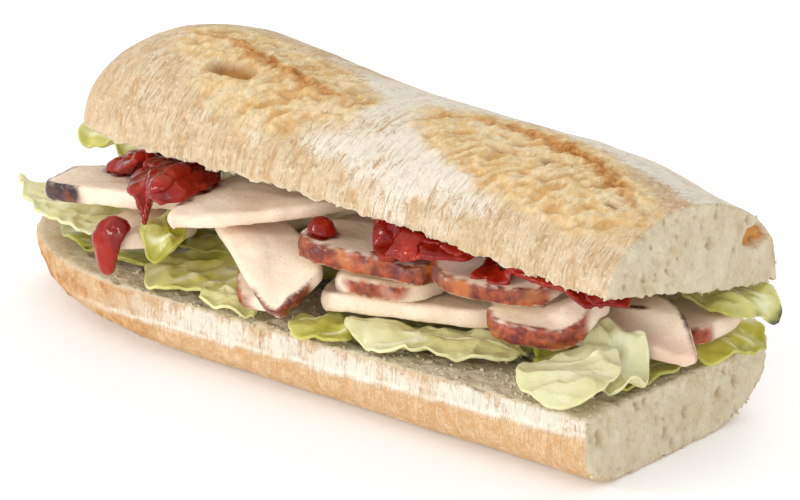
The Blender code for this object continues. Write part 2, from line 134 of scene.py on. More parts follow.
TABLE_SIZE = 256
_rng = np.random.default_rng(5)
SHUFFLE = _rng.permutation(TABLE_SIZE)
GRADIENTS = _rng.normal(size=(TABLE_SIZE, 3))
GRADIENTS /= np.linalg.norm(GRADIENTS, axis=1, keepdims=True)
SPOTS = _rng.uniform(size=(TABLE_SIZE, 4))


def picks(cell):
    """A table place for each grid cell, the same every time."""
    first = SHUFFLE[cell[:, 0] % TABLE_SIZE]
    second = SHUFFLE[(first + cell[:, 1]) % TABLE_SIZE]
    return SHUFFLE[(second + cell[:, 2]) % TABLE_SIZE]


def noise(points, size, seed=0):
    """Smooth noise from -1 to 1 whose features are about this size in mm, one number or one per axis."""
    spot = points / np.asarray(size, float) + seed * 13.7
    cell = np.floor(spot).astype(int)
    into = spot - cell
    blend = into ** 3 * (into * (into * 6 - 15) + 10)
    total = np.zeros(len(points))
    for corner in np.ndindex(2, 2, 2):
        slope = GRADIENTS[picks(cell + corner)]
        weight = np.prod(np.where(corner, blend, 1 - blend), axis=1)
        total += weight * ((into - corner) * slope).sum(axis=1)
    return total * 1.7


def rough(points, size, octaves=3, seed=0):
    """Noise with finer noise on it."""
    total = np.zeros(len(points))
    for k in range(octaves):
        total += noise(points, np.asarray(size, float) / 2 ** k, seed + k) / 2 ** k
    return total


def pores(points, size, seed=0, fewest=0.0):
    """How deep each point is in the nearest of many scattered holes, from 0 outside to 1 in the middle."""
    spot = points / np.asarray(size, float) + seed * 7.3
    cell = np.floor(spot).astype(int)
    deepest = np.zeros(len(points))
    for corner in np.ndindex(3, 3, 3):
        near = cell + corner - 1
        draw = SPOTS[picks(near)]
        radius = 0.12 + 0.42 * draw[:, 3] ** 3
        away = np.linalg.norm(near + draw[:, :3] - spot, axis=1)
        depth = np.clip(1 - away / radius, 0, 1) * (draw[:, 3] > fewest)
        deepest = np.maximum(deepest, depth)
    return deepest


def ease(low, high, value):
    """0 below low, 1 above high, smooth between."""
    share = np.clip((value - low) / (high - low), 0, 1)
    return share * share * (3 - 2 * share)


def hill(value, middle, width):
    return np.exp(-(((value - middle) / width) ** 2))


# Meshes

def fine_copy(node, name, levels, sharp=None, grid=None, relax=0):
    """A finer, smoother copy of a CAD node. Edges sharper than this many degrees keep their crease."""
    mesh = frame["nodes"][node].data.copy()
    bm = bmesh.new()
    bm.from_mesh(mesh)
    bmesh.ops.remove_doubles(bm, verts=bm.verts, dist=SAME_POINT)
    if sharp is not None:
        crease = bm.edges.layers.float.new("crease_edge")
        for edge in bm.edges:
            edge[crease] = float(edge.calc_face_angle(0) > math.radians(sharp))
    bm.to_mesh(mesh)
    bm.free()
    mesh.materials.clear()
    return refined(mesh, name, levels, grid, relax)


def refined(mesh, name, levels, grid, relax):
    """A piece made from a mesh by rounding it off, giving it an even grid, and smoothing it."""
    helper = bpy.data.objects.new("helper", mesh)
    bpy.context.scene.collection.objects.link(helper)
    if levels:
        round_off = helper.modifiers.new("round", "SUBSURF")
        round_off.levels = round_off.render_levels = levels
    if grid:
        even_out = helper.modifiers.new("even", "REMESH")
        even_out.mode = "VOXEL"
        even_out.voxel_size = grid * MM
        even_out.use_smooth_shade = True
    if relax:
        relaxed = helper.modifiers.new("relax", "SMOOTH")
        relaxed.factor = 0.5
        relaxed.iterations = relax
    bpy.context.view_layer.update()
    made = bpy.data.meshes.new_from_object(helper.evaluated_get(bpy.context.evaluated_depsgraph_get()))
    bpy.data.objects.remove(helper)
    made.name = name
    made.polygons.foreach_set("use_smooth", np.ones(len(made.polygons), bool))
    piece = bpy.data.objects.new(name, made)
    bpy.context.scene.collection.objects.link(piece)
    return piece


def places(piece):
    found = np.empty(len(piece.data.vertices) * 3)
    piece.data.vertices.foreach_get("co", found)
    return found.reshape(-1, 3) / MM


def facing(piece):
    found = np.empty(len(piece.data.vertices) * 3)
    piece.data.vertex_normals.foreach_get("vector", found)
    return found.reshape(-1, 3)


def put(piece, points):
    piece.data.vertices.foreach_set("co", (points * MM).astype(np.float32).ravel())
    piece.data.update()


def paint(piece, name, values):
    """Keeps a value at every point, for the material to read."""
    kind = "FLOAT" if values.ndim == 1 else "FLOAT_VECTOR"
    layer = piece.data.attributes.new(name, kind, "POINT")
    layer.data.foreach_set("value" if values.ndim == 1 else "vector", values.astype(np.float32).ravel())


def calmed(piece, values, passes):
    """Values averaged with those of their neighbours."""
    ends = np.empty(len(piece.data.edges) * 2, int)
    piece.data.edges.foreach_get("vertices", ends)
    first, second = ends.reshape(-1, 2).T
    size = len(values)
    count = np.bincount(first, minlength=size) + np.bincount(second, minlength=size)
    for _ in range(passes):
        total = np.bincount(first, values[second], size) + np.bincount(second, values[first], size)
        values = (values + total / np.maximum(count, 1)) / 2
    return values


def stands_for(piece, node, look):
    piece.data.materials.append(look)
    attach(piece, "root")
    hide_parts(node)


# Materials

def tint(red, green, blue):
    """A colour as seen on a screen, 0 to 255, as the shader's linear numbers."""
    return tuple((value / 255 / 12.92 if value < 10.3 else ((value / 255 + 0.055) / 1.055) ** 2.4)
                 for value in (red, green, blue)) + (1.0,)


class Wire:
    """A shader socket that can be used in sums. Each sum adds its Math node."""

    def __init__(self, look, socket):
        self.look = look
        self.socket = socket

    def math(self, operation, *values):
        return self.look.node("Math", {"operation": operation}, dict(enumerate(values)))

    def __add__(self, other):
        return self.math("ADD", self, other)

    def __radd__(self, other):
        return self.math("ADD", other, self)

    def __sub__(self, other):
        return self.math("SUBTRACT", self, other)

    def __rsub__(self, other):
        return self.math("SUBTRACT", other, self)

    def __mul__(self, other):
        return self.math("MULTIPLY", self, other)

    def __rmul__(self, other):
        return self.math("MULTIPLY", other, self)

    def most(self, other):
        return self.math("MAXIMUM", self, other)

    def ridge(self, width):
        """1 where noise passes its middle and 0 farther off than this width, as thin wavy lines."""
        return self.math("ABSOLUTE", self - 0.5).between(width, 0.0)

    def between(self, low, high):
        """0 below low and 1 above high, smooth between, or the other way round if low is larger."""
        return self.look.node("MapRange", {"interpolation_type": "SMOOTHSTEP"},
                              {"Value": self, "From Min": low, "From Max": high})


class Look:
    """A material in the making."""

    def __init__(self, name):
        self.material = bpy.data.materials.new(name)
        self.material.use_nodes = True
        self.tree = self.material.node_tree
        self.shader = self.tree.nodes["Principled BSDF"]

    def node(self, kind, settings=None, inputs=None, out=0):
        made = self.tree.nodes.new("ShaderNode" + kind)
        for key, value in (settings or {}).items():
            setattr(made, key, value)
        for key, value in (inputs or {}).items():
            self.feed(made.inputs[key], value)
        return Wire(self, made.outputs[out])

    def feed(self, socket, value):
        if isinstance(value, Wire):
            self.tree.links.new(value.socket, socket)
        else:
            socket.default_value = value

    def set(self, **values):
        """Sockets of the shader, by name with underscores for spaces."""
        for key, value in values.items():
            self.feed(self.shader.inputs[key.replace("_", " ")], value)

    def kept(self, name):
        """A value that the mesh keeps at its points."""
        return self.node("Attribute", {"attribute_name": name}, out=2)

    def kept_vector(self, name):
        return self.node("Attribute", {"attribute_name": name}, out=1)

    def here(self):
        return self.node("TexCoord", out=3)

    def stretched(self, vector, scale):
        return self.node("VectorMath", {"operation": "MULTIPLY"}, {0: vector, 1: scale})

    def noise(self, vector, scale, detail=2.0, roughness=0.5, distortion=0.0):
        return self.node("TexNoise", {"normalize": True}, {
            "Vector": vector, "Scale": scale, "Detail": detail, "Roughness": roughness,
            "Distortion": distortion})

    def mix(self, share, under, over):
        """A colour between two others."""
        return self.node("Mix", {"data_type": "RGBA"}, {0: share, 6: under, 7: over}, out=2)

    def bump(self, height, depth_mm):
        return self.node("Bump", inputs={"Height": height, "Distance": depth_mm * MM, "Strength": 1.0})


def bread_look():
    look = Look("baked_bread")
    here = look.here()
    grain = look.kept_vector("grain")
    crumb = look.kept("crumb")
    slash = look.kept("slash")
    ear = look.kept("ear")
    gold = look.kept("gold")
    flour = look.kept("flour")
    seam = look.kept("seam")
    crack = look.kept("crack")
    painted_valley_shade = look.kept("painted_valley_shade")

    specks = look.noise(here, 1500.0, 2.0, 0.7)
    patches = look.noise(here, 110.0, 3.0, 0.6)
    blotches = look.noise(here, 380.0, 3.0, 0.65)
    wrinkles = look.noise(look.stretched(grain, (0.36, 0.07, 1.0)), 1.0, 2.5, 0.5, 0.6)
    fine_wrinkles = look.noise(look.stretched(grain, (0.85, 0.16, 1.0)), 1.0, 2.5, 0.55, 0.5)
    pimples = look.noise(here, 850.0, 2.0, 0.6)

    # Crust: fine wavy cracks, tan in pale cream, under patches of flour
    lines = wrinkles.ridge(0.028) * 0.75
    lines = lines.most(fine_wrinkles.ridge(0.035) * 0.45)
    lines = (lines * blotches.between(0.32, 0.60)).most(crack * 0.7)
    pale = look.mix(patches.between(0.35, 0.65), tint(199, 174, 139), tint(210, 190, 160))
    pale = look.mix(fine_wrinkles.between(0.42, 0.62) * 0.15, pale, tint(200, 169, 130))
    pale = look.mix(pimples.between(0.50, 0.68) * 0.45, pale, tint(234, 216, 186))
    crust = look.mix(lines, pale, tint(184, 134, 82))
    dusty = (flour - 0.35 + patches * 0.7 + specks * 0.5 - lines * 0.4).between(0.58, 0.98)
    crust = look.mix(dusty * 0.8, crust, tint(229, 222, 207))

    # Golden places: the smooth band, the heel and the baked-open slashes
    toasted = look.mix(blotches.between(0.35, 0.65), tint(196, 150, 98), tint(217, 182, 138))
    toasted = look.mix(specks.between(0.52, 0.70) * 0.45, toasted, tint(240, 224, 196))
    crust = look.mix(gold * 0.9, crust, toasted)
    open_crust = look.mix(blotches.between(0.36, 0.62), tint(214, 178, 122), tint(228, 204, 160))
    # Painted shade: the valleys between the folds of the open slashes are painted darker
    open_crust = look.mix(painted_valley_shade * 0.6, open_crust, tint(196, 146, 84))
    open_crust = look.mix(patches.between(0.48, 0.68) * 0.5, open_crust, tint(234, 217, 185))
    crust = look.mix(slash, crust, open_crust)
    burnt = look.mix(blotches.between(0.35, 0.6), tint(158, 96, 38), tint(206, 150, 86))
    crust = look.mix(ear, crust, burnt)
    crust = look.mix(seam * 0.9, crust, tint(244, 237, 222))
    crust = look.mix(look.kept("shade"), crust, tint(176, 128, 70))

    # Crumb: cream, with uneven small holes painted darker inside as shade
    sponge = look.noise(here, 260.0, 3.0, 0.6, 0.3)
    small_sponge = look.noise(here, 720.0, 2.0, 0.6, 0.2)
    holes = sponge.between(0.46, 0.28)
    small_hole_shade = small_sponge.between(0.46, 0.28)
    deep_hole_shade = look.kept("painted_hole_shade")
    meal = look.mix(patches.between(0.3, 0.7), tint(204, 189, 158), tint(217, 205, 178))
    meal = look.mix(small_hole_shade * 0.3, meal, tint(196, 172, 130))
    meal = look.mix(holes * 0.5, meal, tint(192, 166, 122))
    meal = look.mix(deep_hole_shade * 0.5, meal, tint(186, 158, 114))
    meal = look.mix(look.kept("hollow"), meal, tint(204, 146, 80))

    height = specks * 0.2 + pimples * 0.6 + blotches * 0.5 + wrinkles * 0.35 - lines * 0.5
    crumb_height = specks * 0.3 + sponge * 1.6 + small_sponge * 0.8
    mixed = height * (1.0 - crumb) + crumb_height * crumb
    look.set(Base_Color=look.mix(crumb, crust, meal), Roughness=0.85, Normal=look.bump(mixed, 0.5),
             Subsurface_Weight=0.12, Subsurface_Radius=(0.004, 0.0024, 0.0012), Subsurface_Scale=1.0)
    look.set(Specular_IOR_Level=0.2)
    return look.material


def chicken_look():
    look = Look("roast_chicken")
    here = look.here()
    skin = look.kept("skin")
    char = look.kept("char")
    blush = look.kept("blush")
    glaze = look.kept("glaze")
    fibre = look.noise(look.stretched(here, (0.5, 1.3, 1.3)), 420.0, 3.0, 0.6, 0.6)
    grain = look.noise(here, 1400.0, 2.0, 0.6)
    cloud = look.noise(here, 95.0, 2.0, 0.5)
    meat = look.mix(cloud.between(0.35, 0.65), tint(247, 229, 205), tint(239, 216, 190))
    meat = look.mix(fibre.between(0.50, 0.75) * 0.4, meat, tint(246, 234, 216))
    meat = look.mix(grain.between(0.46, 0.30) * 0.35, meat, tint(214, 182, 152))
    meat = look.mix(blush, meat, tint(216, 164, 142))
    spots = look.noise(here, 330.0, 3.0, 0.65)
    browned = look.mix(spots.between(0.36, 0.64), tint(106, 30, 13), tint(168, 75, 32))
    browned = look.mix(cloud.between(0.52, 0.68) * 0.6, browned, tint(198, 121, 58))
    charred = look.mix(spots.between(0.4, 0.65), tint(44, 22, 22), tint(92, 54, 44))
    browned = look.mix(char, browned, charred)
    colour = look.mix(skin, meat, browned)
    colour = look.mix(glaze, colour, tint(150, 38, 20))
    height = fibre * 0.4 + grain * 0.5 + spots * skin * 1.6
    gloss = 0.52 - skin * 0.24 - glaze * 0.4
    look.set(Base_Color=colour, Roughness=gloss.most(0.12), Normal=look.bump(height, 0.25),
             Subsurface_Weight=0.2, Subsurface_Radius=(0.004, 0.002, 0.0014), Subsurface_Scale=1.0)
    look.set(Specular_IOR_Level=0.35)
    look.set(Coat_Weight=glaze * 0.3 + skin * 0.2 + 0.04, Coat_Roughness=0.15)
    return look.material


def lettuce_look():
    look = Look("fresh_lettuce")
    here = look.here()
    pale = look.kept("pale")
    deep_green_and_shade = look.kept("deep_green_and_shade")
    veins = look.kept("veins")
    cloud = look.noise(here, 120.0, 3.0, 0.55, 0.3)
    fine = look.noise(here, 700.0, 2.0, 0.6)
    green = look.mix(cloud.between(0.35, 0.65), tint(192, 186, 66), tint(222, 214, 118))
    # Deeper green, partly real and partly painted shade in the creases and on the shaded leaf behind
    green = look.mix(deep_green_and_shade, green, tint(132, 132, 26))
    colour = look.mix(pale, green, tint(233, 230, 192))
    colour = look.mix(veins * 0.75, colour, tint(238, 236, 200))
    colour = look.mix(look.kept("tip"), colour, tint(52, 62, 34))
    height = cloud * 0.9 + fine * 0.3
    look.set(Base_Color=colour, Roughness=fine * 0.2 + 0.24, Normal=look.bump(height, 0.5),
             Subsurface_Weight=0.3, Subsurface_Radius=(0.003, 0.003, 0.0012), Subsurface_Scale=1.0)
    look.set(Coat_Weight=0.2, Coat_Roughness=0.15)
    return look.material


def sauce_look():
    look = Look("tomato_sauce")
    here = look.here()
    pulp = look.noise(here, 330.0, 3.0, 0.6)
    cloud = look.noise(here, 90.0, 2.0, 0.5)
    colour = look.mix(cloud.between(0.35, 0.65), tint(122, 16, 7), tint(156, 32, 13))
    colour = look.mix(pulp.between(0.58, 0.72) * 0.5, colour, tint(190, 66, 28))
    look.set(Base_Color=colour, Roughness=0.11, Normal=look.bump(pulp, 0.45), Specular_IOR_Level=0.2,
             Subsurface_Weight=0.1, Subsurface_Radius=(0.003, 0.0006, 0.0003), Subsurface_Scale=1.0)
    look.set(Coat_Weight=0.25, Coat_Roughness=0.04)
    return look.material


# Bread

def lid_frame(points):
    """Across and up as the tilted lid has them, for points in mm."""
    along = (points[:, 0] - LID_HEEL_X) / (LID_CUT_X - LID_HEEL_X)
    floor = LID_FLOOR_HEEL + (LID_FLOOR_CUT - LID_FLOOR_HEEL) * ease(0.45, 1.0, along)
    y = points[:, 1] - LID_CENTRE_Y
    z = points[:, 2] - floor
    cos = math.cos(LID_TILT)
    sin = math.sin(LID_TILT)
    return y * cos - z * sin, y * sin + z * cos


def laid_along(points, across, middle_x, middle_y, turn, half_length, half_width):
    """Places in an oval on the lid, along it and across it, from -1 to 1 inside."""
    cos = math.cos(math.radians(turn))
    sin = math.sin(math.radians(turn))
    u = ((points[:, 0] - middle_x) * cos + (across - middle_y) * sin) / half_length
    v = ((across - middle_y) * cos - (points[:, 0] - middle_x) * sin) / half_width
    return u, v


def slash_fields(points, across):
    """How far inside a slash each point is, and how near its ear."""
    inside = np.full(len(points), -9.0)
    ear = np.zeros(len(points))
    ragged = noise(points, 7, 3) * 0.22 + noise(points, 2.6, 4) * 0.10
    for middle_x, middle_y, turn, half_length, half_width, ear_place in SCORES:
        u, v = laid_along(points, across, middle_x, middle_y, turn, half_length, half_width)
        open_share = np.maximum(0, 1 - u * u)
        inside = np.maximum(inside, 1 - u * u - 0.62 * v * v + ragged)
        past = (v - ear_place * open_share + ragged * 0.5) * half_width / EAR_HALF_WIDTH
        ear = np.maximum(ear, np.sqrt(open_share) * np.exp(-past * past))
    return inside, ear


def bake(piece, points, normals, crumb, grain, push, masks):
    """Gives bread its relief and keeps the masks for its material."""
    crust = 1 - crumb
    none = np.zeros(len(points))
    slash = masks.get("slash", none)
    ear = masks.get("ear", none)
    thin = np.abs(noise(grain, (2.6, 18, 9), 11))
    line = (1 - ease(0.0, 0.14, thin)) * ease(-0.2, 0.3, noise(grain, (9, 14, 9), 12))
    crack = line * crust * (1 - slash) * (1 - 0.8 * masks["gold"])
    holes = pores(points, (6.5, 4.2, 5.0), 21, 0.45)
    small = pores(points, 2.6, 22, 0.35)
    push = push + crust * (1 - slash) * (0.08 * noise(grain, (2.6, 12, 9), 13) - 0.35 * crack)
    push = push + crust * 0.35 * rough(points, 16, 2, 14)
    turned = np.column_stack([grain[:, 0] * 0.6 + grain[:, 1] * 0.8,
                              grain[:, 1] * 0.6 - grain[:, 0] * 0.8])
    turned = np.column_stack([turned + 2.5 * noise(points, 8, 16)[:, None], none])
    folds = 1 - np.abs(noise(turned, (8.5, 3.0, 5), 15))
    flakes = rough(points, (3.4, 2.4, 2.4), 2, 17)
    push = push + slash * (1.6 * (folds - 0.8) + 0.85 * flakes)
    push = push + ear * (0.9 * noise(points, (3.4, 2.4, 2.4), 18) + 0.5 * noise(points, 1.9, 19))
    push = push - crumb * (1.8 * ease(0, 0.6, holes) + 0.7 * ease(0, 0.6, small))
    push = push + crumb * (0.45 * rough(points, 3.4, 2, 23))
    put(piece, points + normals * push[:, None])
    paint(piece, "crumb", crumb)
    paint(piece, "grain", grain)
    paint(piece, "crack", crack)
    # Painted shade where the slashes' folds sink into valleys
    paint(piece, "painted_valley_shade", slash * ease(0.80, 0.50, folds + 0.12 * flakes))
    # Painted shade in the crumb's holes, for the material to darken
    paint(piece, "painted_hole_shade", crumb * ease(0.1, 0.7, np.maximum(holes, 0.6 * small)))
    for name in ("slash", "ear", "gold", "flour", "seam", "shade"):
        paint(piece, name, np.clip(masks.get(name, none), 0, 1) * crust)
    paint(piece, "hollow", masks.get("hollow", none))


def make_lid(look):
    piece = fine_copy("bread_top", "bread_top_baked", 2, 45, LID_GRID, 4)
    points = places(piece)
    normals = facing(piece)
    across, up = lid_frame(points)
    up_facing = normals[:, 1] * math.sin(LID_TILT) + normals[:, 2] * math.cos(LID_TILT)
    cut = ease(0.5, 0.85, normals[:, 0]) * ease(108, 113, points[:, 0])
    rim = ease(31, 35, np.abs(across)) + ease(-62, -72, points[:, 0])
    under = ease(0.35, 0.75, -up_facing) * ease(9, 4, up) * (1 - np.clip(rim, 0, 1) * ease(0.6, 1.6, up))
    frayed = 0.25 * noise(points, 1.6, 30) * hill(up, 1.5, 3)
    crumb = np.clip(calmed(piece, np.maximum(cut, under), 1) + frayed, 0, 1)
    angle = np.arctan2(across, up - 2)
    grain = np.column_stack([points[:, 0] - across * 0.12, angle * 34, np.zeros(len(points))])
    inside, ear = slash_fields(points, across)
    slash = ease(-0.30, 0.25, inside)
    band = hill(points[:, 0] + 0.5 * (across + 18), 38, 24)
    band = band + 1.6 * hill(points[:, 0], 95, 30) * ease(-6, 6, across)
    flour = np.clip(0.38 + 0.5 * band - 0.3 * ease(-40, -75, points[:, 0]) + 0.3 * noise(points, 12, 31)
                    - 0.45 * ease(12, 5, up), 0, 1)
    gold = 0.35 * ease(-50, -80, points[:, 0]) * ease(-0.2, 0.4, noise(points, 9, 32))
    pocket = np.zeros(len(points))
    for middle_x, middle_y, half_length, half_width, turn in POCKETS:
        u, v = laid_along(points, across, middle_x, middle_y, turn, half_length, half_width)
        share = (up > 8) * min(1, half_length / 4)
        pocket = np.maximum(pocket, ease(1.1, 0.55, np.sqrt(u * u + v * v)) * share)
    hollow_y, hollow_z, hollow_half_width, hollow_half_height, hollow_depth = HOLLOW
    hollow = cut * ease(1.1, 0.8, np.hypot((points[:, 1] - hollow_y) / hollow_half_width,
                                           (points[:, 2] - hollow_z) / hollow_half_height))
    # Crumbs torn out along the lower edge
    edge = hill(up, 0, 1.6) * ease(LID_HALF_WIDTH - 5, LID_HALF_WIDTH - 1, np.abs(across))
    edge = np.maximum(edge, hill(up, 0, 1.6) * ease(111, 116, points[:, 0]))
    torn = edge * (0.7 * noise(points, (1.9, 1.9, 4), 33) + 0.7 * noise(points, (5.5, 5.5, 9), 34))
    points = points - np.outer(torn + 0.3 * edge, (0, math.sin(LID_TILT), math.cos(LID_TILT)))
    bake(piece, points, normals, crumb, grain, -POCKET_DEPTH * pocket - hollow_depth * hollow, {
        "slash": slash * (1 - pocket),
        "ear": 0.95 * ear * ease(0.25, 0.7, ear + 0.3 * noise(points, 4, 35)),
        "gold": gold, "flour": flour, "hollow": hollow, "shade": pocket})
    stands_for(piece, "bread_top", look)


def make_base(look):
    piece = fine_copy("bread_bottom", "bread_bottom_baked", 2, 45, BASE_GRID, 4)
    points = places(piece)
    normals = facing(piece)
    x, y, z = points.T
    along = (x - BASE_HEEL_X) / (BASE_CUT_X - BASE_HEEL_X)
    top = BASE_TOP_HEEL + (BASE_TOP_CUT - BASE_TOP_HEEL) * along
    cut = ease(0.5, 0.85, normals[:, 0]) * ease(106, 111, x)
    off_heel = ease(-84, -48, x + 9 * noise(points, 9, 48))
    over = ease(0.35, 0.75, normals[:, 2]) * ease(-6, -3, z - top) * (0.2 + 0.8 * off_heel)
    frayed = 0.3 * noise(points, 1.6, 40) * hill(z, top, 3)
    crumb = np.clip(calmed(piece, np.maximum(cut, over), 1) + frayed, 0, 1)
    angle = np.arctan2(y - BASE_CENTRE_Y, 26 - z)
    grain = np.column_stack([x, angle * 36, np.zeros(len(points))])
    lengthwise = points * (1, 0, 0)
    wander = 0.5 * noise(lengthwise, 7, 41) + 0.3 * noise(lengthwise, 2.2, 42)
    below = SEAM_AT_ORIGIN + SEAM_RISE * x + wander - z
    broken = ease(-0.55, -0.1, noise(points * (1, 1, 0), 9, 43) + 0.4)
    seam = 0.8 * hill(below, 0, 0.55) * ease(-75, -45, x) * broken
    heel = ease(-20, -58, x)
    flat = ease(0.3, 0.8, normals[:, 2])
    gold = np.maximum(ease(-0.2, 1.6, below) * ease(-75, -45, x),
                      heel * (0.85 - 0.1 * flat + 0.3 * noise(points, 6, 44)))
    flour = np.clip(0.5 + 0.4 * hill(below, -2.5, 3) - 0.3 * heel + 0.5 * heel * flat
                    + 0.4 * noise(points, 8, 45), 0, 1)
    push = -0.35 * seam + 0.25 * gold
    torn = hill(z, top, 1.5) * ease(0.9, 0.3, np.abs(normals[:, 2]))
    push = push + torn * 0.5 * noise(points, (1.8, 1.8, 4), 46)
    bake(piece, points, normals, crumb, grain, push, {
        "gold": np.clip(gold, 0, 1), "flour": flour, "seam": seam,
        "ear": 0.75 * heel * ease(-0.6, 0.5, noise(points, 5, 47)) * (1 - seam) * (1 - flat)})
    fixed = places(piece)
    fixed[:, 2] = np.maximum(fixed[:, 2], 0)
    put(piece, fixed)
    stands_for(piece, "bread_bottom", look)


# Filling

# Where each slice is browned: bearings from and to in degrees, reach from the edge in mm, how charred,
# and "rim" where the side stays bare
SKIN = {
    "chicken_left": ((140, 240, 1.6, 1.0),),
    "chicken_lower_left": ((150, 262, 1.4, 1.0),),
    "chicken_strip": ((300, 352, 1.2, 0.5),),
    "chicken_under_strip": ((225, 290, 1.0, 0.1),),
    "chicken_big": ((190, 345, 1.3, 0.15),),
    "chicken_under_lid": ((190, 345, 2.0, 0.7),),
    "chicken_dark_end": ((150, 252, 1.4, 1.0), (252, 305, 0.9, 0.0)),
    "chicken_crusty_middle": ((190, 345, 1.4, 0.4),),
    "chicken_crusty_right": ((190, 352, 1.4, 0.3),),
    "chicken_sloping": ((-8, 22, 1.7, 0.9, "rim"), (6, 58, 1.7, 0.9)),
    "chicken_far_right": ((312, 338, 1.2, 0.1),),
    "chicken_back_left": ((20, 165, 1.3, 0.4),),
    "chicken_back_middle": ((15, 160, 1.3, 0.3),),
    "chicken_back_right": ((20, 160, 1.3, 0.3),),
}
BLUSH = {"chicken_pointed": 0.25, "chicken_long": 0.1, "chicken_far_right": 0.4, "chicken_sloping": 0.3}


def edge_points(node, sharp):
    """Points along a CAD node's edges that are sharper than this many degrees, as a tree to search."""
    bm = bmesh.new()
    bm.from_mesh(frame["nodes"][node].data)
    bmesh.ops.remove_doubles(bm, verts=bm.verts, dist=SAME_POINT)
    found = []
    for edge in bm.edges:
        if edge.calc_face_angle(0) > math.radians(sharp):
            first, second = (vert.co / MM for vert in edge.verts)
            steps = max(1, int((second - first).length / 0.6))
            found += [first.lerp(second, k / steps) for k in range(steps)]
    bm.free()
    tree = KDTree(len(found))
    for index, place in enumerate(found):
        tree.insert(place, index)
    tree.balance()
    return tree


def how_far(tree, points):
    return np.array([tree.find(point)[2] for point in points])


def bearings(node, points):
    """The bearing of each point in plan from the middle of a node, in degrees."""
    solid = places(frame["nodes"][node])
    away = points - (solid.min(axis=0) + solid.max(axis=0)) / 2
    return np.degrees(np.arctan2(away[:, 1], away[:, 0])) % 360


def make_chicken(node, look, sauce_trees):
    piece = fine_copy(node, node + "_roasted", 2, 35, CHICKEN_GRID, 4)
    points = places(piece)
    normals = facing(piece)
    bearing = bearings(node, points)
    depth = how_far(edge_points(node, 50), points)
    seed = sum(map(ord, node)) % 50
    skin = np.zeros(len(points))
    char = np.zeros(len(points))
    upright = normals[normals[:, 2] > 0.7].mean(axis=0)
    side = ease(0.75, 0.45, np.abs(normals @ upright) / np.linalg.norm(upright))
    for first, last, reach, dark, *alone in SKIN.get(node, ()):
        turned = (bearing - first + 12 * noise(points, 6, seed)) % 360
        window = ease(0, 12, turned) * ease(last - first + 6, last - first - 8, turned)
        ragged = depth + 0.4 * noise(points, 2.5, seed + 1)
        rim = np.maximum(side * (not alone), ease(0.5 * reach + 0.3, 0.5 * reach - 0.4, ragged))
        skin = np.maximum(skin, window * rim)
        scorch = ease(-0.6, 0.5, noise(points, 7, seed + 2) + 1.6 * dark - 0.8)
        char = np.maximum(char, window * dark * scorch)
    blush = BLUSH.get(node, 0.0) * ease(-0.1, 0.6, noise(points, 14, seed + 3))
    blush = blush + 0.12 * ease(0, 0.6, noise(points, 20, seed + 4))
    push = 0.25 * noise(points, 6, seed + 5) + 0.10 * noise(points, 2.0, seed + 6)
    push = push + skin * (0.5 * noise(points, (4, 4, 2.5), seed + 7) + 0.2)
    put(piece, points + normals * push[:, None])
    paint(piece, "skin", skin)
    paint(piece, "char", np.clip(char, 0, 1))
    paint(piece, "blush", np.clip(blush, 0, 1))
    near = np.full(len(points), 99.0)
    for tree in sauce_trees:
        near = np.minimum(near, how_far(tree, points))
    paint(piece, "glaze", ease(1.5, 0.8, near + 0.8 * noise(points, 3.5, seed + 8)))
    stands_for(piece, node, look)


# How pale, how deep a green and how ruffled at the rim some leaves are. The deep green is partly painted
# shade: the leaf lying in shadow behind is painted darker.
PALE = {
    "leaf_folded": 0.75, "leaf_crumpled": 0.7, "leaf_left_tip": 0.55, "leaf_wavy_front": 0.5,
    "leaf_ribbed": 0.2, "leaf_curl": 0.5, "leaf_frilly_left": 0.15, "leaf_right_high": 0.2,
}
DEEP_GREEN_AND_SHADE = {
    "leaf_dark_behind": 0.9, "leaf_bed_left": 0.5, "leaf_bed_middle": 0.4, "leaf_bed_right": 0.4,
    "leaf_right_high": 0.1,
}
RUFFLE = {
    "leaf_frilly_left": 1.4, "leaf_curl": 0.8, "leaf_wavy_front": 1.0, "leaf_crumpled": 1.2,
    "leaf_back_left": 1.2, "leaf_back_middle": 1.2, "leaf_right_high": 1.0,
}


